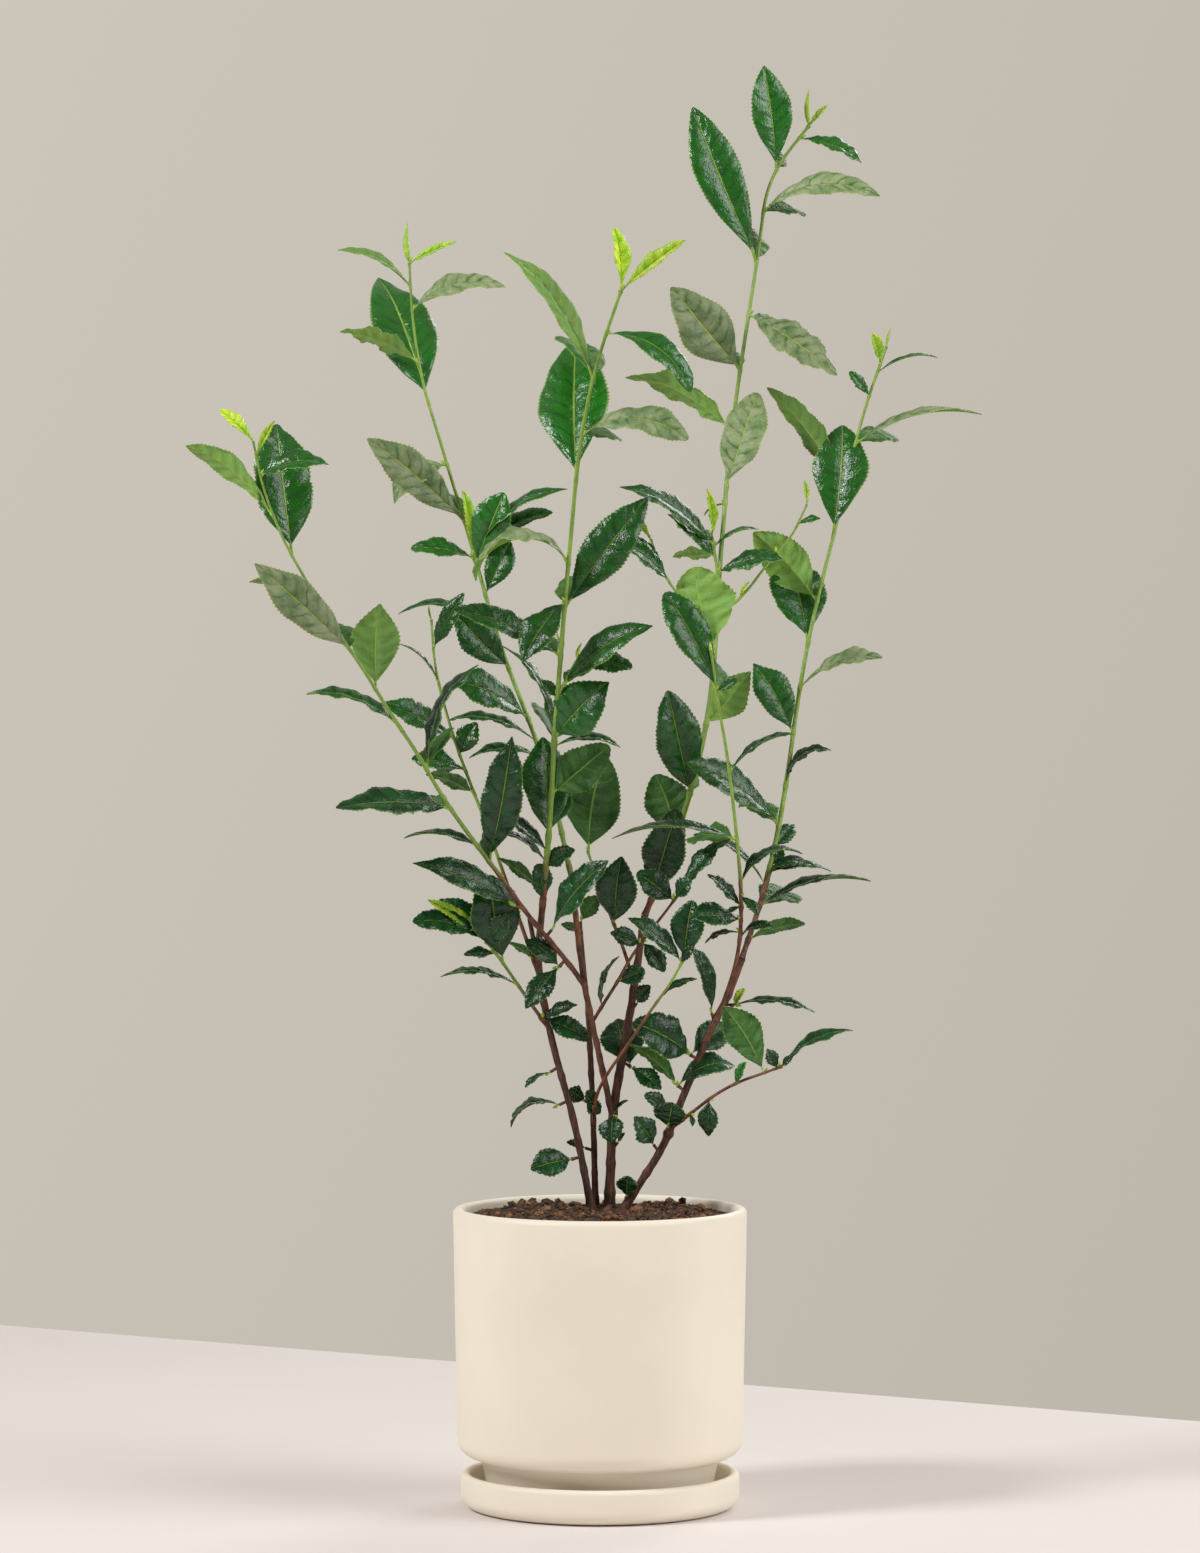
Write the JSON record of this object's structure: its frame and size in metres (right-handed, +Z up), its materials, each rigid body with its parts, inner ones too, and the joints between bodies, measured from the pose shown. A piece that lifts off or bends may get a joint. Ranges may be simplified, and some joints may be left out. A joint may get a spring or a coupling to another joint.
{
  "type": "potted tea bush",
  "caption": "Young open tea bush with slender upright canes and glossy toothed leaves, standing in a round plain ceramic pot on a matching saucer.",
  "frame": {"origin": "middle of the flat underside of the saucer, on the level that the pot stands on", "axes": "+Z up along the pot's axis, -Y towards the main view, +X to the right in that view"},
  "size_m": [0.5106, 0.3233, 0.9445],
  "materials": {
    "ceramic": "matte cream glaze, smooth, with a faint sheen",
    "soil": "loose dark potting mix with bark and grit",
    "bark": "thin red-brown to grey-brown bark, green higher up",
    "foliage": "glossy leathery leaf, paler and duller underneath"
  },
  "bodies": {
    "root": {"saucer": "ceramic", "pot": "ceramic", "soil": "soil", "cane_1": "bark", "cane_2": "bark", "cane_3": "bark", "cane_4": "bark", "left_bough": "bark", "far_left_bough": "bark", "tall_shoot": "foliage", "right_shoot": "foliage", "fork_shoot": "foliage", "centre_shoot": "foliage", "left_shoot": "foliage", "far_left_shoot": "foliage", "thin_left_shoot": "foliage", "low_left_shoot": "foliage", "low_right_shoot": "foliage", "high_cross_shoot": "foliage", "low_cross_shoot": "foliage", "inner_shoot": "foliage", "back_shoot": "foliage", "spur_1": "foliage", "spur_2": "foliage", "spur_3": "foliage", "spur_4": "foliage", "spur_5": "foliage", "spur_6": "foliage", "spur_7": "foliage", "spur_8": "foliage", "spur_9": "foliage", "spur_10": "foliage", "spur_11": "foliage", "spur_12": "foliage", "spur_13": "foliage", "spur_14": "foliage", "spur_15": "foliage", "spur_16": "foliage", "spur_17": "foliage", "spur_18": "foliage", "spur_19": "foliage", "spur_20": "foliage"}
  },
  "joints": []
}
